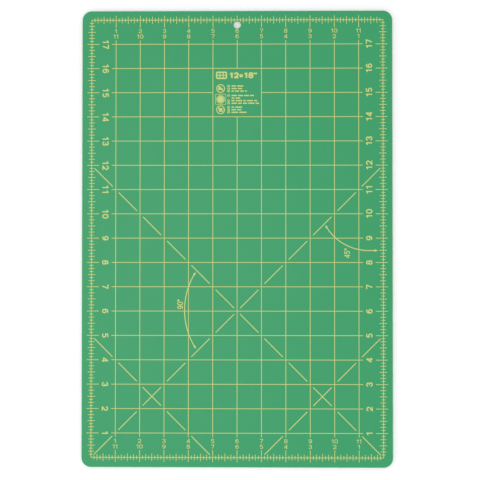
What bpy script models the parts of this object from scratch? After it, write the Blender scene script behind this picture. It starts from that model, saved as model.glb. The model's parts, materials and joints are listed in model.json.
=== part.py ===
"""Self-healing cutting mat: a five-ply sheet with rounded corners and a hanging hole.

Metres, +Z up. The origin is the middle of the underside, and +Y points towards the short
edge that has the hanging hole. The five plies are fused into one sheet on the real mat.
Here each ply is a body of its own, and a thin gap stands for each bond line.
"""

import math

import bmesh
import bpy
from mathutils import Matrix, Vector

INCH = 0.0254

# Driving dimensions of the whole mat
GRID_WIDTH = 12 * INCH
GRID_LENGTH = 18 * INCH
PLAIN_MARGIN = 0.0098
CORNER_RADIUS = PLAIN_MARGIN
MAT_THICKNESS = 0.003

# The laminate: the two soft outer plies take what the others leave
CORE_THICKNESS = 0.0003
INNER_PLY_THICKNESS = 0.00035
BOND_GAP = 0.0001

# The hole that the mat hangs from, on the middle line near the top edge
HOLE_DIAMETER = 0.008
HOLE_BELOW_EDGE = 0.0145

# Facets: edges around a quarter of a corner and around the whole hole
CORNER_SEGMENTS = 12
HOLE_SEGMENTS = 48
SMOOTH_ANGLE = math.radians(30)

MAT_WIDTH = GRID_WIDTH + 2 * PLAIN_MARGIN
MAT_LENGTH = GRID_LENGTH + 2 * PLAIN_MARGIN
HOLE_CENTRE = Vector((0.0, MAT_LENGTH / 2 - HOLE_BELOW_EDGE, MAT_THICKNESS / 2))
OUTER_PLY_THICKNESS = (
    MAT_THICKNESS - CORE_THICKNESS - 2 * INNER_PLY_THICKNESS - 4 * BOND_GAP
) / 2

GREEN = (0.06, 0.36, 0.16, 1.0)
DEEP_GREEN = (0.03, 0.17, 0.09, 1.0)
MILKY_WHITE = (0.72, 0.74, 0.70, 1.0)

# The plies from the bench upwards: name, thickness, colour, roughness
PLIES = (
    ("bottom_healing_layer", OUTER_PLY_THICKNESS, GREEN, 0.6),
    ("lower_inner_ply", INNER_PLY_THICKNESS, DEEP_GREEN, 0.7),
    ("rigid_core_sheet", CORE_THICKNESS, MILKY_WHITE, 0.4),
    ("upper_inner_ply", INNER_PLY_THICKNESS, DEEP_GREEN, 0.7),
    ("top_healing_layer", OUTER_PLY_THICKNESS, GREEN, 0.6),
)


def clear_scene():
    for leftover in list(bpy.data.objects):
        bpy.data.objects.remove(leftover, do_unlink=True)


def plastic(name, colour, roughness):
    """A matt plastic finish with one colour."""
    material = bpy.data.materials.new(name)
    material.use_nodes = True
    shader = material.node_tree.nodes["Principled BSDF"]
    shader.inputs["Base Color"].default_value = colour
    shader.inputs["Roughness"].default_value = roughness
    shader.inputs["Metallic"].default_value = 0.0
    return material


def object_from(name, shape):
    """Turn a bmesh into an object of the scene, with its round stretches shaded smooth."""
    mesh = bpy.data.meshes.new(name)
    shape.to_mesh(mesh)
    shape.free()
    mesh.shade_smooth()
    mesh.set_sharp_from_angle(angle=SMOOTH_ANGLE)
    piece = bpy.data.objects.new(name, mesh)
    bpy.context.scene.collection.objects.link(piece)
    return piece


def upright_edges(shape):
    """The edges that run along Z."""
    along_z = Vector((0.0, 0.0, 1.0))
    return [
        edge
        for edge in shape.edges
        if abs((edge.verts[0].co - edge.verts[1].co).normalized().dot(along_z)) > 0.5
    ]


def sheet(name, thickness):
    """A flat sheet as large as the mat, with rounded corners, its underside at z = 0."""
    shape = bmesh.new()
    size = Matrix.Diagonal((MAT_WIDTH, MAT_LENGTH, thickness, 1.0))
    lift = Matrix.Translation((0.0, 0.0, thickness / 2))
    bmesh.ops.create_cube(shape, size=1.0, matrix=lift @ size)
    bmesh.ops.bevel(
        shape,
        geom=upright_edges(shape),
        affect="EDGES",
        offset=CORNER_RADIUS,
        segments=CORNER_SEGMENTS,
        profile=0.5,
        material=-1,
    )
    return object_from(name, shape)


def hole_punch():
    """The cutter for the hanging hole: a round bar through the whole stack."""
    shape = bmesh.new()
    bmesh.ops.create_cone(
        shape,
        cap_ends=True,
        segments=HOLE_SEGMENTS,
        radius1=HOLE_DIAMETER / 2,
        radius2=HOLE_DIAMETER / 2,
        depth=3 * MAT_THICKNESS,
    )
    punch = object_from("hole_punch", shape)
    punch.location = HOLE_CENTRE
    punch.hide_render = True
    punch.display_type = "WIRE"
    return punch


def lay_up(punch):
    """Stack the plies from the bench upwards, and punch the hole through each."""
    height = 0.0
    for name, thickness, colour, roughness in PLIES:
        ply = sheet(name, thickness)
        ply.location.z = height
        ply.data.materials.append(plastic(name, colour, roughness))
        cut = ply.modifiers.new("hanging_hole", "BOOLEAN")
        cut.operation = "DIFFERENCE"
        cut.solver = "EXACT"
        cut.object = punch
        height += thickness + BOND_GAP


clear_scene()
lay_up(hole_punch())
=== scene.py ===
# %% [markdown]
# # A self-healing cutting mat
#
# The object is a flat, five-ply plastic mat, 12 by 18 inches inside its printed ruler. It has
# no moving parts. Its looks come from three things: a sheet with softly rounded rims, a thin
# coat of yellow ink laid out as a measuring grid, and a matt grain pressed into the plastic.
#
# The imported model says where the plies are. Everything else is placed from it, in metres.

# %% Load the frame and keep its box
import bpy
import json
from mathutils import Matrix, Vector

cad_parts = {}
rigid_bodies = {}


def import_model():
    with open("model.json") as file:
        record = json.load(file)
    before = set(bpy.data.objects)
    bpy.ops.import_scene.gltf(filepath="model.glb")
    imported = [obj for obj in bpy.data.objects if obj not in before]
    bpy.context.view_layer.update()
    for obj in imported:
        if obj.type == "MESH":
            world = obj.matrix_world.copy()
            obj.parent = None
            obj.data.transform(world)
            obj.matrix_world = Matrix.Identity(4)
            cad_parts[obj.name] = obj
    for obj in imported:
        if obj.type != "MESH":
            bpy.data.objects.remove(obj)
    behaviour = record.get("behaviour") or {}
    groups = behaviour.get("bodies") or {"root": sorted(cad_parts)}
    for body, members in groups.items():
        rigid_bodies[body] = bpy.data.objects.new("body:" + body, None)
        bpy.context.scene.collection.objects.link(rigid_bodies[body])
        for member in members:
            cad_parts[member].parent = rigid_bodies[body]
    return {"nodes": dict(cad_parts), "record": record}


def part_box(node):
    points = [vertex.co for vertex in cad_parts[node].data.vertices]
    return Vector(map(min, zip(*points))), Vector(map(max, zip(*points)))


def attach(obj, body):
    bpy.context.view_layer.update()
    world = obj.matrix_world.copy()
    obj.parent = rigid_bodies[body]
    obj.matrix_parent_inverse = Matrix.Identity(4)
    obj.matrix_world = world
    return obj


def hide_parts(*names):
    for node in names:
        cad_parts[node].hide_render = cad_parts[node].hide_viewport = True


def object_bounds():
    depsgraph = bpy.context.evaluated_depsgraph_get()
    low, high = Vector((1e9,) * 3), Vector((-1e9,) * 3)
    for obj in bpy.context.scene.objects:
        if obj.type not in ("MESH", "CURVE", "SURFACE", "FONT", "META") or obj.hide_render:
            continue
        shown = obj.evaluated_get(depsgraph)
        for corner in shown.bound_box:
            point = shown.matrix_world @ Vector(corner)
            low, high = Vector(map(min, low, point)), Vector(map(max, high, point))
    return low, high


for leftover in list(bpy.data.objects):
    bpy.data.objects.remove(leftover)
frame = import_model()
cad_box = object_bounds()

import json
import math
import random

import bmesh
from mathutils import Matrix, Vector

print("nodes", list(frame["nodes"]))

# %% [markdown]
# ## The sizes that drive the drawing
#
# A ruler is drawn in its own unit, so the layout below is in inches, measured from the lower
# left corner of the printed frame. Only the last step of each piece turns inches into metres.
# Sizes of the sheet itself are in metres. Its box and the gap between two plies are measured on
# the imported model, and the hole's place comes from the opening that the record states for it.

# %% Driving sizes
INCH = 0.0254
COLUMNS = 12
ROWS = 18
CORNER_RADIUS = 0.0098
HOLE_RADIUS = 0.004

hole_box = frame["record"]["physics"]["openings"][0]["box_m"]
HOLE_X = (hole_box[0][0] + hole_box[1][0]) / 2
HOLE_Y = (hole_box[0][1] + hole_box[1][1]) / 2
MAT_LOW, MAT_HIGH = cad_box
BOND_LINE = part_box("lower_inner_ply")[0].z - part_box("bottom_healing_layer")[1].z
print("mat", [round(side * 1000, 2) for side in MAT_HIGH - MAT_LOW], "mm")
print("hole centre", round(HOLE_X * 1000, 2), round(HOLE_Y * 1000, 2), "mm")
print("bond line", round(BOND_LINE * 1000, 3), "mm")

# %% [markdown]
# ## From a bmesh to a piece
#
# A bmesh is a mesh that is still on the bench: operators grow it, cut it and weld it. Every
# piece ends the same way: its bmesh becomes an object at the origin and rides on the one body
# of this part.
#
# Every solid here starts as a flat drawing that is extruded. Which way is outwards is worked out
# while the solid is one unit thick, because on a film of a few hundredths of a millimetre the
# answer can come out wrong. Only then is it pressed down to its real thickness.

# %% Helpers that finish a piece
def mesh_of(name, shape):
    """Turn a bmesh into a mesh."""
    mesh = bpy.data.meshes.new(name)
    shape.to_mesh(mesh)
    shape.free()
    return mesh


def object_of(name, shape):
    """Turn a bmesh into an object at the origin."""
    made = bpy.data.objects.new(name, mesh_of(name, shape))
    bpy.context.scene.collection.objects.link(made)
    return made


def finished(name, shape):
    """Turn a bmesh into a piece that rides on the root body."""
    piece = object_of(name, shape)
    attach(piece, "root")
    print(name, len(piece.data.polygons), "faces")
    return piece


def thicken(shape, depth):
    """Extrude a flat drawing from z = 0 into a closed solid."""
    raised = bmesh.ops.extrude_face_region(shape, geom=list(shape.faces))
    upper = [item for item in raised["geom"] if isinstance(item, bmesh.types.BMVert)]
    bmesh.ops.translate(shape, verts=upper, vec=(0.0, 0.0, 1.0))
    bmesh.ops.recalc_face_normals(shape, faces=list(shape.faces))
    bmesh.ops.scale(shape, verts=upper, vec=(1.0, 1.0, depth))


# %% [markdown]
# ## The plies
#
# The real mat is a stack of plastic sheets fused under heat and then cut to shape with a die.
# The die leaves crisp walls with slightly rounded rims, and each bond line shows as a hair-fine
# groove in the cut edge.
#
# A rounded rectangle with a hole could be a Boolean cut. It is simpler to draw both outlines,
# fill the space between them, and extrude the fill: no cutter is needed and the walls are one
# clean strip of faces. The rims are then bevelled, which gives the edge its highlight. Each ply
# reaches halfway into its bond lines, so that the stack shows no open gap.

# %% Outlines of the mat and of its hole
CORNER_STEPS = 16
HOLE_STEPS = 64
ROUND = 0.5
KEEP_FINISH = -1


def mat_outline(shape):
    """Draw the rounded rectangle of the mat's outline, without a face."""
    half = (MAT_HIGH - MAT_LOW) / 2
    stretch = Matrix.Diagonal((half.x, half.y, 1.0, 1.0))
    bmesh.ops.create_grid(shape, x_segments=1, y_segments=1, size=1.0, matrix=stretch)
    bmesh.ops.bevel(
        shape,
        geom=list(shape.verts),
        affect="VERTICES",
        offset=CORNER_RADIUS,
        segments=CORNER_STEPS,
        profile=ROUND,
        material=KEEP_FINISH,
    )
    bmesh.ops.delete(shape, geom=list(shape.faces), context="FACES_ONLY")


def hole_outline(shape):
    """Draw the circle of the hanging hole, without a face."""
    place = Matrix.Translation((HOLE_X, HOLE_Y, 0.0))
    bmesh.ops.create_circle(shape, segments=HOLE_STEPS, radius=HOLE_RADIUS, matrix=place)


# %% One ply, and the stack of five
BOND_GROOVE = 0.00003
OUTER_RIM = 0.00022
RIM_STEPS = 3
SAME_HEIGHT = 1e-6
LEVEL = 0.99


def soften(shape, height, width):
    """Round the rims of the outline and of the hole at one height."""
    rim = [
        edge
        for edge in shape.edges
        if all(abs(corner.co.z - height) < SAME_HEIGHT for corner in edge.verts)
        and any(abs(face.normal.z) < LEVEL for face in edge.link_faces)
    ]
    bmesh.ops.bevel(
        shape,
        geom=rim,
        affect="EDGES",
        offset=width,
        segments=RIM_STEPS,
        profile=ROUND,
        material=KEEP_FINISH,
    )


def ply(name, node, lower_rim, upper_rim):
    """A sheet of the laminate that fills its CAD ply and half of each bond line."""
    low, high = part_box(node)
    bottom = max(low.z - BOND_LINE / 2, MAT_LOW.z)
    top = min(high.z + BOND_LINE / 2, MAT_HIGH.z)
    shape = bmesh.new()
    mat_outline(shape)
    hole_outline(shape)
    bmesh.ops.triangle_fill(shape, use_beauty=True, edges=list(shape.edges))
    thicken(shape, top - bottom)
    bmesh.ops.translate(shape, verts=list(shape.verts), vec=(0.0, 0.0, bottom))
    soften(shape, bottom, lower_rim)
    soften(shape, top, upper_rim)
    for face in shape.faces:
        face.smooth = abs(face.normal.z) < LEVEL
    piece = finished(name, shape)
    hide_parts(node)
    return piece


bottom_ply = ply("mat_bottom_ply", "bottom_healing_layer", OUTER_RIM, BOND_GROOVE)
lower_ply = ply("mat_lower_inner_ply", "lower_inner_ply", BOND_GROOVE, BOND_GROOVE)
core = ply("mat_core_sheet", "rigid_core_sheet", BOND_GROOVE, BOND_GROOVE)
upper_ply = ply("mat_upper_inner_ply", "upper_inner_ply", BOND_GROOVE, BOND_GROOVE)
top_ply = ply("mat_top_ply", "top_healing_layer", BOND_GROOVE, OUTER_RIM)

# %% [markdown]
# ## Ink is a thin solid
#
# The yellow marks are screen-printed: a film of ink some hundredths of a millimetre thick.
# They could be painted by the material, but thin lines blur as soon as a texture has fewer
# dots than the line needs. As thin solids they stay crisp at any distance.
#
# Each drawing is made flat, in inches. Before it gets its thickness, every free corner is
# rounded a little, because wet ink pulls itself round. Lines that cross are printed in coats
# of slightly different height, so that no two faces lie in one plane. The screen was not set
# down quite true: the print sits a fraction of a millimetre off the middle of the sheet.

# %% Where the print lies
# How deep the ink sinks into the sheet, and how far each coat stands out of it, in metres
INK_BITE = 0.00002
GRID_COAT = 0.000030
GUIDE_COAT = 0.000036
ARC_COAT = 0.000042
PRINT_SHIFT = Vector((0.0001, 0.0003, 0.0))

print_centre = PRINT_SHIFT + Vector((0.0, 0.0, MAT_HIGH.z - INK_BITE))
print_corner = print_centre - Vector((COLUMNS / 2 * INCH, ROWS / 2 * INCH, 0.0))
WORK_FACE = Matrix.Translation(print_corner) @ Matrix.Diagonal((INCH, INCH, 1.0, 1.0))
print("corner of the print", [round(along * 1000, 2) for along in print_corner], "mm")

# %% From a flat drawing to printed ink
INK_ROUNDING = 0.3
INK_ROUNDING_STEPS = 2
WELD = 1e-4


def ink_up(drawing, line, coat):
    """Weld a flat drawing, round its free corners and give it the thickness of its coat."""
    bmesh.ops.remove_doubles(drawing, verts=list(drawing.verts), dist=WELD)
    bmesh.ops.bevel(
        drawing,
        geom=[corner for corner in drawing.verts if len(corner.link_faces) == 1],
        affect="VERTICES",
        offset=line * INK_ROUNDING,
        segments=INK_ROUNDING_STEPS,
        profile=ROUND,
        material=KEEP_FINISH,
    )
    thicken(drawing, INK_BITE + coat)


def printed(name, drawing):
    """Lay an inked drawing on the mat and finish it."""
    bmesh.ops.transform(drawing, matrix=WORK_FACE, verts=list(drawing.verts))
    return finished(name, drawing)


# %% [markdown]
# ## The inch grid
#
# A grid of lines could be 28 bars laid over each other, but bars that cross share a top
# face and flicker. Sign makers solve this another way: they score a whole sheet and weed out
# the waste. So one rectangle is bisected along both sides of every line, and the faces that
# carry no ink are deleted. What stays is one connected web.
#
# The lines stop short of the ruler to leave room for the numbers, and a window two inches
# wide stays free of them for the care label.

# %% Score and weed
LINE = 0.026
GRID_START = 0.83
WINDOW_LOW = Vector((5.0, 14.0, 0.0))
WINDOW_HIGH = Vector((7.0, 16.0, 0.0))


def rectangle(shape, low_x, low_y, high_x, high_y):
    """One rectangular face between two corners."""
    middle = Matrix.Translation(((low_x + high_x) / 2, (low_y + high_y) / 2, 0.0))
    stretch = Matrix.Diagonal((high_x - low_x, high_y - low_y, 1.0, 1.0))
    bmesh.ops.create_grid(
        shape, x_segments=1, y_segments=1, size=0.5, matrix=middle @ stretch
    )


def score(shape, axis, places):
    """Bisect the whole drawing across an axis at each of the places."""
    across = Vector((0.0, 0.0, 0.0))
    across[axis] = 1.0
    for place in places:
        bmesh.ops.bisect_plane(
            shape,
            geom=[*shape.verts, *shape.edges, *shape.faces],
            plane_co=across * place,
            plane_no=across,
        )


def weed(shape, has_ink):
    """Peel away the faces that carry no ink."""
    waste = [face for face in shape.faces if not has_ink(face.calc_center_median())]
    bmesh.ops.delete(shape, geom=waste, context="FACES")


def both_sides(middles, width):
    """The two edges of each line of this width."""
    return [middle + side * width / 2 for middle in middles for side in (-1, 1)]


# %% The grid itself
def near_line(place):
    """True within half a line's width of a whole inch."""
    return abs(place - round(place)) < LINE / 2


def on_grid(point):
    """True where the grid has ink: on a line, and not inside the window."""
    in_window = all(
        WINDOW_LOW[axis] + LINE / 2 < point[axis] < WINDOW_HIGH[axis] - LINE / 2
        for axis in (0, 1)
    )
    return not in_window and (near_line(point.x) or near_line(point.y))


grid = bmesh.new()
rectangle(grid, GRID_START, GRID_START, COLUMNS - GRID_START, ROWS - GRID_START)
score(grid, 0, both_sides(range(1, COLUMNS), LINE))
score(grid, 1, both_sides(range(1, ROWS), LINE))
weed(grid, on_grid)
ink_up(grid, LINE, GRID_COAT)
inch_grid = printed("ink_inch_grid", grid)

# %% [markdown]
# ## The ruler
#
# The frame line is a ruler on all four sides. Its ticks stand across the line: short ones at
# the eighths, longer at the quarters and halves, and the inch ticks reach furthest inwards.
#
# An array of one tick would be short to write, but ticks of four lengths need four arrays, and
# none of them joins the line. So one side is scored and weeded as a comb, then copied round the
# frame. The long comb starts inside the short one's line, so the four sides meet edge to edge
# and weld into one ring.

# %% A comb of ticks
EIGHTHS = 8
TICK = 0.026
# How far a tick reaches outside and inside the line, for ticks at every so many eighths
REACHES = {1: (0.080, 0.085), 2: (0.112, 0.130), 4: (0.146, 0.162), 8: (0.183, 0.310)}


def reach_of(eighth):
    """How far the tick at this eighth reaches outside and inside the line."""
    step = max(size for size in REACHES if eighth % size == 0)
    return REACHES[step]


def comb(inches, line_start, line_end):
    """One side of the ruler along X, with its outside towards -Y."""

    def has_ink(point):
        if abs(point.y) < LINE / 2:
            return True
        eighth = round(point.x * EIGHTHS)
        outside, inside = reach_of(eighth)
        on_tick = abs(point.x - eighth / EIGHTHS) < TICK / 2 and 0 < eighth < inches * EIGHTHS
        return on_tick and -outside < point.y < inside

    side = bmesh.new()
    widest_out, widest_in = REACHES[EIGHTHS]
    rectangle(side, line_start, -widest_out, line_end, widest_in)
    ticks = [eighth / EIGHTHS for eighth in range(1, inches * EIGHTHS)]
    score(side, 0, [*both_sides(ticks, TICK), LINE / 2, inches - LINE / 2])
    levels = {-outside for outside, _ in REACHES.values()}
    levels |= {inside for _, inside in REACHES.values()}
    score(side, 1, [*sorted(levels), -LINE / 2, LINE / 2])
    weed(side, has_ink)
    return mesh_of("comb", side)


# %% The ring of four combs
def stamp(drawing, motif, place):
    """Copy a mesh into a drawing at the place that a matrix gives."""
    already = len(drawing.verts)
    drawing.from_mesh(motif)
    drawing.verts.ensure_lookup_table()
    bmesh.ops.transform(drawing, matrix=place, verts=drawing.verts[already:])


def turned(x, y, degrees):
    """A matrix that turns a motif about Z and sets its origin down at x, y."""
    return Matrix.Translation((x, y, 0.0)) @ Matrix.Rotation(math.radians(degrees), 4, "Z")


short_comb = comb(COLUMNS, -LINE / 2, COLUMNS + LINE / 2)
long_comb = comb(ROWS, LINE / 2, ROWS - LINE / 2)
ruler = bmesh.new()
stamp(ruler, short_comb, turned(0, 0, 0))
stamp(ruler, long_comb, turned(COLUMNS, 0, 90))
stamp(ruler, short_comb, turned(COLUMNS, ROWS, 180))
stamp(ruler, long_comb, turned(0, ROWS, -90))
ink_up(ruler, TICK, GRID_COAT)
print("ruler", len(ruler.faces), "faces before the punch")

# %% [markdown]
# ## The hole goes through the ink too
#
# The mat is punched after it is printed, so the hole takes the inner half of the middle inch
# tick with it. This is a job for a Boolean: closed shapes go in and one comes out. The helper
# makes short-lived objects, lets the exact solver work, and reads the result back. The solver
# takes all the shapes at once, because one after another the flat faces where they overlap are
# cut up differently from run to run.

# %% Combine closed shapes
def combined(shape, others, operation):
    """Return the exact union or difference of closed bmeshes, and free them all."""
    kept = object_of("kept", shape)
    helpers = bpy.data.collections.new("helpers")
    for other in others:
        helpers.objects.link(object_of("helper", other))
    boolean = kept.modifiers.new("combine", "BOOLEAN")
    boolean.operation = operation
    boolean.solver = "EXACT"
    boolean.operand_type = "COLLECTION"
    boolean.collection = helpers
    outcome = kept.evaluated_get(bpy.context.evaluated_depsgraph_get())
    result = bmesh.new()
    result.from_mesh(outcome.to_mesh())
    outcome.to_mesh_clear()
    # Removing a mesh also removes the object that shows it.
    for used in (kept, *helpers.objects):
        bpy.data.meshes.remove(used.data)
    bpy.data.collections.remove(helpers)
    return result


# %% Punch the ruler
PUNCH_DEPTH = 0.01

bmesh.ops.transform(ruler, matrix=WORK_FACE, verts=list(ruler.verts))
punch = bmesh.new()
bmesh.ops.create_cone(
    punch,
    cap_ends=True,
    segments=HOLE_STEPS,
    radius1=HOLE_RADIUS,
    radius2=HOLE_RADIUS,
    depth=PUNCH_DEPTH,
    matrix=Matrix.Translation((HOLE_X, HOLE_Y, MAT_HIGH.z)),
)
ruler_ink = finished("ink_ruler", combined(ruler, [punch], "DIFFERENCE"))

# %% [markdown]
# ## A pen for strokes
#
# Diagonals, arcs and numbers are strokes of one width. They could be curve objects with a
# thickness, but those come out round and have to be converted before they can be joined. A pen
# with a flat nib draws them as meshes: the nib is a single edge, a straight run extrudes it, and
# a bend spins it about a centre. Both leave a clean ribbon of quads, however the stroke turns.

# %% The pen
COARSE_STEP = 15
FINE_STEP = 1.5


def towards(degrees):
    """The unit vector of a heading, counted anticlockwise from +X."""
    return Vector((math.cos(math.radians(degrees)), math.sin(math.radians(degrees)), 0.0))


class Pen:
    """A flat nib that sweeps a stroke through a bmesh."""

    def __init__(self, shape, width, x, y, heading, bend_step=COARSE_STEP):
        self.shape = shape
        self.heading = heading
        self.bend_step = bend_step
        middle = Vector((x, y, 0.0))
        across = towards(heading + 90) * width / 2
        ends = [shape.verts.new(middle + across), shape.verts.new(middle - across)]
        self.nib = shape.edges.new(ends)

    def middle(self):
        """The point that the stroke has reached."""
        return (self.nib.verts[0].co + self.nib.verts[1].co) / 2

    def take(self, geometry):
        """Go on from the edge that an operator has just left."""
        self.nib = [item for item in geometry if isinstance(item, bmesh.types.BMEdge)][0]

    def go(self, length):
        """Draw straight on."""
        moved = bmesh.ops.extrude_edge_only(self.shape, edges=[self.nib])
        self.take([item for item in moved["geom"] if item is not self.nib])
        step = towards(self.heading) * length
        bmesh.ops.translate(self.shape, verts=list(self.nib.verts), vec=step)

    def bend(self, radius, degrees):
        """Draw an arc, to the left for positive degrees and to the right for negative."""
        side = math.copysign(90, degrees)
        centre = self.middle() + towards(self.heading + side) * radius
        spun = bmesh.ops.spin(
            self.shape,
            geom=[*self.nib.verts, self.nib],
            cent=centre,
            axis=(0.0, 0.0, 1.0),
            angle=math.radians(degrees),
            steps=max(2, round(abs(degrees) / self.bend_step)),
        )
        self.take(spun["geom_last"])
        self.heading += degrees

    def spread(self, factor):
        """Make the nib wider or narrower about its middle."""
        around = Matrix.Translation(-self.middle())
        size = (factor, factor, 1.0)
        bmesh.ops.scale(self.shape, vec=size, space=around, verts=list(self.nib.verts))


# %% [markdown]
# ## Diagonals for 45 degrees
#
# Four dashed diagonals cross the grid, one dash in each square, so that a ruler can be laid at
# 45 degrees. A long bar could be cut into dashes, but a dash never touches a grid line, so each
# is quicker to draw by itself. In two squares a pair of dashes crosses. The rising ones
# therefore get a slightly higher coat.

# %% The dashes
GUIDE_LINE = 0.034
DASH_INSET = 0.12
DASH_LENGTH = (1 - 2 * DASH_INSET) * math.sqrt(2)


def dashes(shape, start_x, start_y, heading, count):
    """One dash in each of the squares that a diagonal runs through."""
    step = towards(heading) * math.sqrt(2)
    inset = towards(heading) * DASH_INSET * math.sqrt(2)
    for square in range(count):
        start = Vector((start_x, start_y, 0.0)) + step * square + inset
        Pen(shape, GUIDE_LINE, start.x, start.y, heading).go(DASH_LENGTH)


falling = bmesh.new()
dashes(falling, 0, 12, -45, 12)
dashes(falling, 0, 5, -45, 5)
ink_up(falling, GUIDE_LINE, GRID_COAT)
falling_guides = printed("ink_falling_guides", falling)

rising = bmesh.new()
dashes(rising, 0, 0, 45, 12)
dashes(rising, 7, 0, 45, 5)
ink_up(rising, GUIDE_LINE, GUIDE_COAT)
rising_guides = printed("ink_rising_guides", rising)

# %% [markdown]
# ## Arcs with arrowheads
#
# Two arcs measure angles between the guides. Cut rings would do for the arcs, but not for their
# arrowheads. The pen does both: it draws an arc from the middle outwards, one half at a time,
# and the arrowhead is the same stroke, where the nib spreads to the width of the barbs, runs
# forward and closes to a point. The smaller arc runs out straight at one end.

# %% The two arcs
ARC_LINE = 0.036
HEAD_WIDTH = 0.094
HEAD_LENGTH = 0.13
BARB_RUN = 0.012


def half_arc(shape, centre, radius, middle, sweep, straight=0.0):
    """From the middle of an arc round, then straight on, to an arrowhead at one end."""
    side = math.copysign(90, sweep)
    start = Vector((*centre, 0.0)) + towards(middle) * radius
    pen = Pen(shape, ARC_LINE, start.x, start.y, middle + side, FINE_STEP)
    head_turn = math.degrees(HEAD_LENGTH / radius)
    pen.bend(radius, sweep - math.copysign(head_turn, sweep))
    if straight:
        pen.go(straight)
    pen.go(BARB_RUN)
    pen.spread(HEAD_WIDTH / ARC_LINE)
    pen.heading += math.copysign(head_turn / 2, sweep)
    pen.go(HEAD_LENGTH)
    pen.spread(0.0)


def angle_arc(name, centre, radius, first, last, straight=0.0):
    """An arc between two angles, with an arrowhead at each end, that can run out straight."""
    shape = bmesh.new()
    middle = (first + last) / 2
    half_arc(shape, centre, radius, middle, (last - first) / 2, straight)
    half_arc(shape, centre, radius, middle, (first - last) / 2)
    ink_up(shape, ARC_LINE, ARC_COAT)
    return printed(name, shape)


right_angle_arc = angle_arc(
    "ink_right_angle_arc", centre=(6.74, 6.04), radius=2.90, first=147.5, last=213.0
)
half_angle_arc = angle_arc(
    "ink_half_angle_arc",
    centre=(11.40, 10.52),
    radius=2.03,
    first=209.1,
    last=273.7,
    straight=0.24,
)

# %% [markdown]
# ## Numbers
#
# The numerals are plain and round, of one stroke width, like those on any ruler. A font would
# be quicker, but no built-in font has this flagged one and open four. With the pen each digit
# is a short recipe: where the nib starts and which way it looks, then its runs and bends.
#
# Strokes that touch are joined by the exact union, so a digit is one closed solid. A recipe is
# in units of the digit's height, and digits share one advance, so that columns line up.

# %% The words of a recipe
NIB = 0.15
EDGE = NIB / 2
DIGIT_WIDTH = 0.69
ADVANCE = 0.776
BOWL = (DIGIT_WIDTH - NIB) / 2
MID = DIGIT_WIDTH / 2


def go(length):
    """The pen's move straight on."""
    return ("go", length)


def bend(radius, degrees):
    """The pen's move round an arc."""
    return ("bend", radius, degrees)


def taper(factor):
    """The pen's change of width, over the run just drawn."""
    return ("spread", factor)


def mark(start, *moves, nib=NIB):
    """One stroke: where the nib starts and looks, its moves, and its width."""
    return {"start": start, "moves": moves, "nib": nib}


def loop(middle, width, low, high, nib=NIB):
    """A closed oval stroke between two heights, with flat stretches where it is wide."""
    radius = (high - low) / 2
    flat = width - 2 * radius
    half_turn = bend(radius, -180)
    return mark((middle - flat / 2, high, 0), go(flat), half_turn, go(flat), half_turn, nib=nib)


# %% The recipes
RECIPES = {
    "0": [
        mark(
            (EDGE, 0.5, 90), go(0.155), bend(BOWL, -180), go(0.31), bend(BOWL, -180), go(0.155)
        )
    ],
    "1": [
        mark((0.405, 0.0, 90), go(1.0)),
        mark((0.09, 0.775, 0), go(0.07), bend(0.25, 68)),
    ],
    "2": [
        mark((EDGE, 0.655, 90), bend(BOWL, -230), go(0.53)),
        mark((0.0, EDGE, 0), go(DIGIT_WIDTH)),
    ],
    "3": [
        mark((0.0825, 0.7175, 90), bend(0.2075, -90), go(0.08), bend(0.2075, -180), go(0.04)),
        mark((0.28, 0.51, 0), go(0.11), bend(0.2175, -180), go(0.08), bend(0.2175, -90)),
    ],
    "4": [
        mark((0.51, 0.0, 90), go(1.0)),
        mark((0.0, 0.26, 0), go(DIGIT_WIDTH)),
        mark((0.062, 0.285, 56), go(0.76)),
    ],
    "5": [
        mark((0.125, 0.925, 0), go(0.50)),
        mark((0.16, 0.925, -97), go(0.43)),
        mark((0.146, 0.502, 50), bend(0.26, -295)),
    ],
    "6": [
        mark((EDGE, 0.345, 90), bend(BOWL, -360)),
        mark((EDGE, 0.345, 90), go(0.23), bend(0.35, -75), bend(0.22, -80)),
    ],
    "7": [
        mark((0.0, 0.925, 0), go(DIGIT_WIDTH)),
        mark((0.255, 0.03, 68), go(0.93)),
    ],
    "8": [loop(MID, 0.47, 0.52, 0.925), loop(MID, DIGIT_WIDTH - NIB, EDGE, 0.52)],
    "9": [
        mark((DIGIT_WIDTH - EDGE, 0.655, -90), bend(BOWL, -360)),
        mark((DIGIT_WIDTH - EDGE, 0.655, -90), go(0.23), bend(0.35, -75), bend(0.22, -80)),
    ],
    "degree": [mark((0.07, 0.80, 90), bend(0.13, -360))],
    "times": [
        mark((0.12, 0.18, 45), go(0.64)),
        mark((0.57, 0.18, 135), go(0.64)),
    ],
    "inches": [
        mark((0.15, 0.66, 90), go(0.34), nib=0.12),
        mark((0.42, 0.66, 90), go(0.34), nib=0.12),
    ],
}
print("recipes for", list(RECIPES))


# %% From recipe to closed solid
def stroke(start, moves, nib, bend_step):
    """One stroke of a recipe as a closed ribbon, one unit thick."""
    ribbon = bmesh.new()
    pen = Pen(ribbon, nib, *start, bend_step)
    for name, *values in moves:
        getattr(pen, name)(*values)
    bmesh.ops.remove_doubles(ribbon, verts=list(ribbon.verts), dist=WELD)
    thicken(ribbon, 1.0)
    return ribbon


def motif(name, marks, weight=1.0, bend_step=COARSE_STEP):
    """The union of a recipe's strokes as a mesh, with nibs wider by a weight for bold type."""
    ribbons = [
        stroke(one_mark["start"], one_mark["moves"], one_mark["nib"] * weight, bend_step)
        for one_mark in marks
    ]
    shape = combined(ribbons[0], ribbons[1:], "UNION")
    bmesh.ops.dissolve_degenerate(shape, dist=WELD, edges=list(shape.edges))
    return mesh_of(name, shape)


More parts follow.
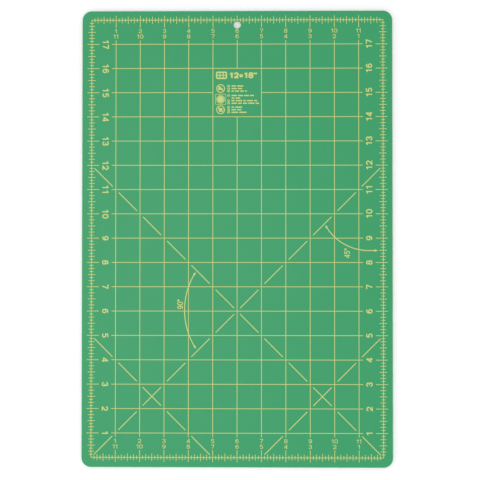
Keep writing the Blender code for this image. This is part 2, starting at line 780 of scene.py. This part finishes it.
def typeface(name, weight, characters):
    """The motifs of these characters in one weight."""
    cut = {}
    for character in sorted(characters):
        cut[character] = motif(f"{name}_{character}", RECIPES[character], weight)
    print(name, {character: len(mesh.polygons) for character, mesh in cut.items()})
    return cut


# %% [markdown]
# ## Where the numbers stand
#
# Along the short edges the inches are counted both ways, one row above the other, so the mat
# can be read from either end. Along the long edges the numbers are larger and turned to face
# outwards. They stand between the inch tick and the start of the grid line.
#
# Each size of type is cut once and then stamped where it is needed, as a printer would do it.
# The small figures are set wider than the large ones, so that they stay open when the ink
# runs, and there the narrow figure one takes less room than the others.

# %% Set a number
DIGITS = "0123456789"


def write(drawing, letters, characters, height, x, y, degrees, stretch=1.0, one=ADVANCE):
    """Stamp characters side by side, centred on a point; a figure one may take less room."""
    steps = [one if character == "1" else ADVANCE for character in characters]
    size = Matrix.Diagonal((height * stretch, height, INK_BITE + GUIDE_COAT, 1.0))
    cursor = -sum(steps) / 2
    for step, character in zip(steps, characters):
        local = Matrix.Translation((cursor + (step - DIGIT_WIDTH) / 2, -0.5, 0.0))
        stamp(drawing, letters[character], turned(x, y, degrees) @ size @ local)
        cursor += step


# %% The numbers of the short edges
SMALL_TYPE = typeface("small_type", 0.84, DIGITS)
SMALL_DIGIT = 0.172
SMALL_STRETCH = 1.2
NARROW_ONE = 0.56
NEAR_ROW = 0.448
FAR_ROW = 0.677


def write_small(drawing, inch, x, y):
    """One number of a short edge."""
    write(drawing, SMALL_TYPE, str(inch), SMALL_DIGIT, x, y, 0, SMALL_STRETCH, NARROW_ONE)


short_numbers = bmesh.new()
for inch in range(1, COLUMNS):
    write_small(short_numbers, inch, inch, FAR_ROW)
    write_small(short_numbers, COLUMNS - inch, inch, NEAR_ROW)
    write_small(short_numbers, inch, inch, ROWS - NEAR_ROW)
    write_small(short_numbers, COLUMNS - inch, inch, ROWS - FAR_ROW)
short_edge_numbers = printed("ink_short_edge_numbers", short_numbers)

# %% The numbers of the long edges
LARGE_TYPE = typeface("large_type", 1.22, DIGITS)
LARGE_DIGIT = 0.255
SIDE_ROW = 0.575

long_numbers = bmesh.new()
for inch in range(1, ROWS):
    write(long_numbers, LARGE_TYPE, str(inch), LARGE_DIGIT, SIDE_ROW, inch, -90)
    write(long_numbers, LARGE_TYPE, str(inch), LARGE_DIGIT, COLUMNS - SIDE_ROW, inch, 90)
long_edge_numbers = printed("ink_long_edge_numbers", long_numbers)

# %% The labels of the two arcs
RIGHT_ANGLE = ["9", "0", "degree"]
RIGHT_ANGLE_PLACE = (3.658, 6.31)
HALF_ANGLE = ["4", "5", "degree"]
HALF_ANGLE_PLACE = (10.517, 8.41)
ANGLE_TYPE = typeface("angle_type", 1.0, {*RIGHT_ANGLE, *HALF_ANGLE})
ANGLE_DIGIT = 0.235
ANGLE_STRETCH = 0.85

labels = bmesh.new()
write(labels, ANGLE_TYPE, RIGHT_ANGLE, ANGLE_DIGIT, *RIGHT_ANGLE_PLACE, 90, ANGLE_STRETCH)
write(labels, ANGLE_TYPE, HALF_ANGLE, ANGLE_DIGIT, *HALF_ANGLE_PLACE, 90, ANGLE_STRETCH)
angle_labels = printed("ink_angle_labels", labels)

# %% [markdown]
# ## The care label
#
# A window in the grid carries the mat's size and its care advice: keep it away from heat and
# out of the sun. Here the size is in plain numbers beside a small picture of a ruled mat. The
# care marks are plain signs, and bars of ink stand for the lines of writing.
#
# Small drawings like these are often laid on as a picture. The pen and the recipes are already
# there, so the signs are drawn like the numbers, with finer bends.

# %% Shapes that the signs share
SIGN_LINE = 0.036
SIGN_RADIUS = 0.162
SIGN_STEP = 7.5
SUN_RAYS = 16
SUN_RAY_START = 0.144
SUN_RAY_LENGTH = 0.040
SUN_RAY_LINE = 0.042


def frame_of(width, height, corner, nib):
    """A rounded rectangle as one closed stroke round the origin."""
    flat = width - 2 * corner
    upright = height - 2 * corner
    quarter = bend(corner, -90)
    sides = [go(flat), quarter, go(upright), quarter, go(flat), quarter, go(upright), quarter]
    return mark((-flat / 2, height / 2, 0), *sides, nib=nib)


def crossed_ring(*inside):
    """A ring with a bar across it, round what the sign is about."""
    slant = SIGN_RADIUS * math.sqrt(0.5)
    slash = (-slant, slant, -45)
    return [
        mark((-SIGN_RADIUS, 0.0, 90), bend(SIGN_RADIUS, -360), nib=SIGN_LINE),
        mark(slash, go(2 * SIGN_RADIUS), nib=SIGN_LINE),
        *inside,
    ]


def sun_ray(degrees):
    """One short ray outside the disc of the sun."""
    start = towards(degrees) * SUN_RAY_START
    return mark((start.x, start.y, degrees), go(SUN_RAY_LENGTH), nib=SUN_RAY_LINE)


# %% The signs
DISC_RADIUS = 0.068
DISC_NIB = 0.132
TILE_WIDTH = 0.075
TILE_HEIGHT = 0.75 * TILE_WIDTH
BADGE_WIDTH = 0.40
BADGE_HEIGHT = 0.25
BADGE_COLUMN = 0.067
BADGE_RULE = 0.038
# Every sign is drawn in inches, round its own middle.
SIGNS = {
    # A sole plate that narrows to its tip, and its handle
    "no_iron": crossed_ring(
        mark((-0.10, -0.02, 0), go(0.20), taper(0.35), nib=0.10),
        mark((-0.07, 0.02, 90), go(0.02), bend(0.045, -180), go(0.02), nib=0.026),
    ),
    # A square frame, and in it a disc with rays
    "no_sun": [
        frame_of(0.43, 0.43, 0.05, 0.018),
        mark((-DISC_RADIUS, 0.0, 90), bend(DISC_RADIUS, -360), nib=DISC_NIB),
        *[sun_ray(turn * 360 / SUN_RAYS) for turn in range(SUN_RAYS)],
    ],
    # A cup that narrows towards its foot, and its ear
    "no_hot_cup": crossed_ring(
        mark((-0.015, 0.07, -90), go(0.15), taper(0.65), nib=0.155),
        mark((0.04, 0.05, 0), go(0.03), bend(0.035, -180), go(0.03), nib=0.024),
    ),
    "tile": [frame_of(TILE_WIDTH, TILE_HEIGHT, 0.016, 0.026)],
    # A small mat with one rule across it and two up it
    "ruled_mat": [
        frame_of(BADGE_WIDTH, BADGE_HEIGHT, 0.04, 0.06),
        mark((-BADGE_WIDTH / 2, 0.0, 0), go(BADGE_WIDTH), nib=BADGE_RULE),
        mark((-BADGE_COLUMN, -BADGE_HEIGHT / 2, 90), go(BADGE_HEIGHT), nib=BADGE_RULE),
        mark((BADGE_COLUMN, -BADGE_HEIGHT / 2, 90), go(BADGE_HEIGHT), nib=BADGE_RULE),
    ],
}
SIGN_MOTIFS = {
    name: motif(name, marks, bend_step=SIGN_STEP) for name, marks in SIGNS.items()
}
print("signs", {name: len(mesh.polygons) for name, mesh in SIGN_MOTIFS.items()})

# %% Bars that stand for writing
WRITING = 0.052
WORD_GAP = 0.045
SHORTEST_WORD = 0.10
LONGEST_WORD = 0.28


def words(shape, x, y, length, chance):
    """Fill a line of this length with bars of ink as long as words."""
    end = x + length
    while x < end:
        word = min(chance.uniform(SHORTEST_WORD, LONGEST_WORD), end - x)
        if end - x - word < SHORTEST_WORD:
            word = end - x
        Pen(shape, WRITING, x, y, 0).go(word)
        x += word + WORD_GAP


# %% Lay out the label
WORDS_SEED = 12
LINE_PITCH = 0.106
SIGN_X = 5.317
BADGE_X = 5.355
TILE_X = 5.647
TEXT_X = 5.765
# Each block of the label: its sign, its middle, the lengths of its lines of writing, and the
# lines that have a tile before them
CARE_BLOCKS = (
    ("no_iron", 15.165, (0.49, 0.44, 0.64), (0, 1, 2)),
    ("no_sun", 14.717, (0.93, 0.36, 1.06, 1.14), (0, 2, 3)),
    ("no_hot_cup", 14.290, (0.44, 0.41, 0.62), (0, 1, 2)),
)
SIZE_DIGIT = 0.222
SIZE_STRETCH = 1.16
SIZE_X = 6.265
SIZE_Y = 15.712
SIZE_TEXT = ["1", "2", "times", "1", "8", "inches"]
SIZE_TYPE = typeface("size_type", 1.9, set(SIZE_TEXT))


def sign(drawing, name, x, y):
    """Stamp one of the label's signs."""
    depth = Matrix.Diagonal((1.0, 1.0, INK_BITE + GRID_COAT, 1.0))
    stamp(drawing, SIGN_MOTIFS[name], turned(x, y, 0) @ depth)


writing = bmesh.new()
signs = bmesh.new()
chance = random.Random(WORDS_SEED)
for name, middle, lengths, tile_rows in CARE_BLOCKS:
    sign(signs, name, SIGN_X, middle)
    for row, length in enumerate(lengths):
        height = middle + ((len(lengths) - 1) / 2 - row) * LINE_PITCH
        words(writing, TEXT_X, height, length, chance)
        if row in tile_rows:
            sign(signs, "tile", TILE_X, height)
sign(signs, "ruled_mat", BADGE_X, SIZE_Y)
write(signs, SIZE_TYPE, SIZE_TEXT, SIZE_DIGIT, SIZE_X, SIZE_Y, 0, SIZE_STRETCH)
ink_up(writing, WRITING, GRID_COAT)
label_writing = printed("ink_label_writing", writing)
label_signs = printed("ink_label_signs", signs)

# %% [markdown]
# ## Writing shader maths as Python
#
# A finish is a small network of nodes. Wiring each Math node by hand hides the formula, so a
# socket is wrapped in a class that knows how to add, subtract and multiply: `1 - wear` then
# adds its node by itself. Every other node comes from one method, which takes the node's type,
# its settings and what its sockets get.

# %% A socket that can do sums
class Wire:
    """An output socket on which Python's operators add Math nodes."""

    def __init__(self, finish, socket):
        self.finish = finish
        self.socket = socket

    def math(self, operation, *values):
        inputs = dict(enumerate(values))
        return self.finish.node("ShaderNodeMath", {"operation": operation}, inputs)

    def __add__(self, other):
        return self.math("ADD", self, other)

    def __sub__(self, other):
        return self.math("SUBTRACT", self, other)

    def __rsub__(self, other):
        return self.math("SUBTRACT", other, self)

    def __mul__(self, other):
        return self.math("MULTIPLY", self, other)

    def __abs__(self):
        return self.math("ABSOLUTE", self)

    def at_least(self, floor):
        return self.math("MAXIMUM", self, floor)

    def root(self):
        return self.math("SQRT", self)

    __radd__ = __add__
    __rmul__ = __mul__


# %% A finish that holds the nodes
# A Mix node keeps a set of sockets for every kind of value. These are the ones for colours.
MIX_FACTOR = 0
MIX_FIRST = 6
MIX_SECOND = 7
MIX_RESULT = 2


class Finish:
    """A material under construction."""

    def __init__(self, name):
        self.material = bpy.data.materials.new(name)
        self.material.use_nodes = True
        self.nodes = self.material.node_tree.nodes
        self.links = self.material.node_tree.links
        self.shader = self.nodes["Principled BSDF"]

    def plug(self, socket, value):
        """Link a wire to a socket, or set the socket's own value."""
        if isinstance(value, Wire):
            self.links.new(value.socket, socket)
        else:
            socket.default_value = value

    def node(self, kind, settings, inputs, output=0):
        """Add a node, set it up, fill its sockets and return one output as a wire."""
        node = self.nodes.new(kind)
        for name, value in settings.items():
            setattr(node, name, value)
        for name, value in inputs.items():
            self.plug(node.inputs[name], value)
        return Wire(self, node.outputs[output])

    def surface(self, **inputs):
        """Fill the shader's sockets, with underscores in place of spaces."""
        for name, value in inputs.items():
            self.plug(self.shader.inputs[name.replace("_", " ")], value)
        return self.material

    def place(self):
        """Object coordinates, in metres because every object sits unscaled at the origin."""
        return self.node("ShaderNodeTexCoord", {}, {}, "Object")

    def noise(self, size, detail=2.0, roughness=0.5, upright=1.0):
        """Noise from 0 to 1, with features of this size in metres, drawn out along Z below 1."""
        scaled = {0: self.place(), 1: (1.0, 1.0, upright)}
        inputs = {
            "Vector": self.node("ShaderNodeVectorMath", {"operation": "MULTIPLY"}, scaled),
            "Scale": 1.0 / size,
            "Detail": detail,
            "Roughness": roughness,
        }
        return self.node("ShaderNodeTexNoise", {"noise_dimensions": "3D"}, inputs)

    def blend(self, amount, first, second):
        """Mix two colours by an amount from 0 to 1."""
        settings = {"data_type": "RGBA", "clamp_factor": True}
        inputs = {MIX_FACTOR: amount, MIX_FIRST: first, MIX_SECOND: second}
        return self.node("ShaderNodeMix", settings, inputs, MIX_RESULT)

    def relief(self, height, depth):
        """Turn a height from 0 to 1 into a normal, for relief of this depth in metres."""
        inputs = {"Height": height, "Strength": 1.0, "Distance": depth}
        return self.node("ShaderNodeBump", {}, inputs)


# %% [markdown]
# ## Matt green plastic
#
# The plastic is pressed against a finely etched plate, which gives it a dry, even grain that
# scatters light and keeps glare off the lines. Under it the colour is not dead flat: pigment
# and filler leave faint clouds a few centimetres wide and specks as fine as the grain.
#
# Grain half a millimetre wide could be modelled only with millions of faces, so it is relief in
# the finish. Noise of three sizes does it all. The largest shifts the colour, the smallest is
# both speck and relief, and the middle one varies the gloss and breaks up the wear.
#
# Handling rubs the rim paler. The distance to the outline is known by formula: past the centres
# of the corner arcs it is measured from them, and elsewhere straight across the edge.

# %% The green finish
GREEN = (0.014, 0.287, 0.101, 1.0)
GREEN_LIGHT = (0.024, 0.309, 0.115, 1.0)
GREEN_RUBBED = (0.080, 0.390, 0.190, 1.0)
RUB_WIDTH = 0.0008
RUB_STRENGTH = 0.55
CLOUD_SIZE = 0.045
PATCH_SIZE = 0.012
GRAIN_SIZE = 0.00045
GRAIN_DEPTH = 0.000012
CLOUD_SHARE = 0.6
GREEN_SMOOTHEST = 0.40
GREEN_SPREAD = 0.08
GREEN_SHEEN = 0.4


def rim_rub(finish):
    """Handling wear: 1 on the outline of the sheet, down to 0 at the rub width inside it."""
    beyond = []
    for axis, half_side in (("X", MAT_HIGH.x), ("Y", MAT_HIGH.y)):
        along = finish.node("ShaderNodeSeparateXYZ", {}, {"Vector": finish.place()}, axis)
        beyond.append((abs(along) - (half_side - CORNER_RADIUS)).at_least(0.0))
    from_arc_centre = (beyond[0] * beyond[0] + beyond[1] * beyond[1]).root()
    return ((from_arc_centre - (CORNER_RADIUS - RUB_WIDTH)) * (1 / RUB_WIDTH)).at_least(0.0)


def green_pvc():
    finish = Finish("green_pvc")
    clouds = finish.noise(CLOUD_SIZE, detail=3.0)
    grain = finish.noise(GRAIN_SIZE, roughness=0.6)
    patches = finish.noise(PATCH_SIZE)
    shade = clouds * CLOUD_SHARE + grain * (1 - CLOUD_SHARE)
    plain = finish.blend(shade, GREEN, GREEN_LIGHT)
    # The patches average one half, so they are doubled to leave the strength as it is named.
    rubbed = rim_rub(finish) * patches * (2 * RUB_STRENGTH)
    return finish.surface(
        Base_Color=finish.blend(rubbed, plain, GREEN_RUBBED),
        Roughness=GREEN_SMOOTHEST + patches * GREEN_SPREAD,
        Specular_IOR_Level=GREEN_SHEEN,
        Normal=finish.relief(grain, GRAIN_DEPTH),
    )


# %% [markdown]
# ## The plies inside
#
# Only the cut edge shows them. The inner plies are the same plastic with more filler, and the
# core is a stiffer, milky sheet. A die drags fine upright streaks down the edge. Separate
# grooves would be far too many, so noise that is drawn out along Z does it. One function makes
# both finishes, because they differ only in colour and gloss.

# %% The finishes of the cut edge
STREAK_WIDTH = 0.0004
STREAK_STRETCH = 0.15
STREAK_DEPTH = 0.00001
STREAK_SPREAD = 0.1
INNER_DARK = (0.02, 0.17, 0.08, 1.0)
INNER_LIGHT = (0.03, 0.21, 0.10, 1.0)
INNER_SMOOTHEST = 0.55
CORE_DARK = (0.42, 0.52, 0.42, 1.0)
CORE_LIGHT = (0.52, 0.60, 0.50, 1.0)
CORE_SMOOTHEST = 0.4


def edge_finish(name, dark, light, smoothest):
    """A plain plastic with the fine upright streaks that a die leaves."""
    finish = Finish(name)
    streaks = finish.noise(STREAK_WIDTH, detail=3.0, upright=STREAK_STRETCH)
    return finish.surface(
        Base_Color=finish.blend(streaks, dark, light),
        Roughness=smoothest + streaks * STREAK_SPREAD,
        Normal=finish.relief(streaks, STREAK_DEPTH),
    )


# %% [markdown]
# ## Printed ink
#
# The ink is a yellow film that lies a little unevenly on the grain. Its colour thins in specks
# and smears, as if the green shone through. Real transparency would do that too, but it is slow
# to render, and a blend of two opaque yellows looks the same on a film this thin.

# %% The ink finish
INK = (0.58, 0.62, 0.19, 1.0)
INK_THIN = (0.48, 0.56, 0.17, 1.0)
SPECK_SIZE = 0.0005
SPECK_SHARE = 0.6
SPECK_DEPTH = 0.000006
SMEAR_SIZE = 0.02
SMEAR_SHARE = 0.3
INK_SMOOTHEST = 0.42
INK_SPREAD = 0.12


def printed_ink():
    finish = Finish("printed_ink")
    specks = finish.noise(SPECK_SIZE, roughness=0.6)
    smears = finish.noise(SMEAR_SIZE)
    thin = specks * SPECK_SHARE + smears * SMEAR_SHARE
    return finish.surface(
        Base_Color=finish.blend(thin, INK, INK_THIN),
        Roughness=INK_SMOOTHEST + specks * INK_SPREAD,
        Normal=finish.relief(specks, SPECK_DEPTH),
    )


# %% Give every piece its finish
FINISHES = {
    "green_pvc": green_pvc(),
    "inner_pvc": edge_finish("inner_pvc", INNER_DARK, INNER_LIGHT, INNER_SMOOTHEST),
    "core_sheet": edge_finish("core_sheet", CORE_DARK, CORE_LIGHT, CORE_SMOOTHEST),
    "printed_ink": printed_ink(),
}
PIECES = {
    "green_pvc": [bottom_ply, top_ply],
    "inner_pvc": [lower_ply, upper_ply],
    "core_sheet": [core],
    "printed_ink": [
        inch_grid,
        ruler_ink,
        falling_guides,
        rising_guides,
        right_angle_arc,
        half_angle_arc,
        short_edge_numbers,
        long_edge_numbers,
        angle_labels,
        label_writing,
        label_signs,
    ],
}
for slot, pieces in PIECES.items():
    for piece in pieces:
        piece.data.materials.append(FINISHES[slot])
    print(slot, len(pieces), "pieces")

# %% [markdown]
# ## The table, the light and the camera
#
# The mat lies on a plain white table in an even white surround, with a little more light from
# the lower left. That leaves a narrow soft shadow along its top and right edges. The table stops
# a hair below the mat, so that their faces never share a plane.
#
# The camera looks almost straight down from a little over a metre, with a long lens, so the
# grid stays square.

# %% The table
FLOOR_SIZE = 12.0
FLOOR_GAP = 0.00005
FLOOR_COLOUR = (0.95, 0.95, 0.95, 1.0)
FLOOR_ROUGHNESS = 0.9


def table_top():
    """A plain sheet just under the mat."""
    shape = bmesh.new()
    place = Matrix.Translation((0.0, 0.0, MAT_LOW.z - FLOOR_GAP))
    bmesh.ops.create_grid(
        shape, x_segments=1, y_segments=1, size=FLOOR_SIZE / 2, matrix=place
    )
    table = object_of("table_top", shape)
    white = Finish("white_table").surface(Base_Color=FLOOR_COLOUR, Roughness=FLOOR_ROUGHNESS)
    table.data.materials.append(white)
    print("table top", FLOOR_SIZE, "m wide,", FLOOR_GAP * 1000, "mm under the mat")


table_top()

# %% [markdown]
# The surround does most of the work: it is what makes the shadow so narrow and even. Three weak
# lamps shape the rest. A wide one hangs over the left half, leaves a faint sheen there and
# reaches the table through the hole. One stands low on the left and throws the shadow to the
# upper right, and one fills from the front.

# %% The lamps and the surround
# Name, place, width and power of each lamp
LAMPS = (
    ("overhead_left", (-0.45, 0.0, 2.50), 1.20, 12.0),
    ("low_key", (-1.50, -0.80, 0.70), 1.00, 3.2),
    ("front_fill", (0.0, -0.90, 1.20), 0.80, 1.2),
)
SURROUND = 0.85


def soft_lamp(name, place, size, power):
    """A square area light that looks at the middle of the mat."""
    light = bpy.data.lights.new(name, "AREA")
    light.size = size
    light.energy = power
    lamp = bpy.data.objects.new(name, light)
    lamp.location = place
    lamp.rotation_euler = Vector(place).to_track_quat("Z", "Y").to_euler()
    bpy.context.scene.collection.objects.link(lamp)
    print(name, power, "W")


for lamp_settings in LAMPS:
    soft_lamp(*lamp_settings)
world = bpy.data.worlds.new("white_surround")
world.use_nodes = True
backdrop = world.node_tree.nodes["Background"]
backdrop.inputs["Color"].default_value = (1.0, 1.0, 1.0, 1.0)
backdrop.inputs["Strength"].default_value = SURROUND
bpy.context.scene.world = world
bpy.context.scene.view_settings.view_transform = "Standard"

# %% The camera
# Place in metres, tilt about X, Y and Z in degrees, lens in millimetres
CAMERA_PLACE = (0.0190, -0.0216, 1.1862)
CAMERA_TILT = (0.965, 0.769, 0.020)
LENS = 85.0

camera_data = bpy.data.cameras.new("camera")
camera_data.lens = LENS
camera = bpy.data.objects.new("camera", camera_data)
camera.location = CAMERA_PLACE
camera.rotation_euler = [math.radians(angle) for angle in CAMERA_TILT]
bpy.context.scene.collection.objects.link(camera)
bpy.context.scene.camera = camera
print("camera at", CAMERA_PLACE, "with a", LENS, "mm lens")
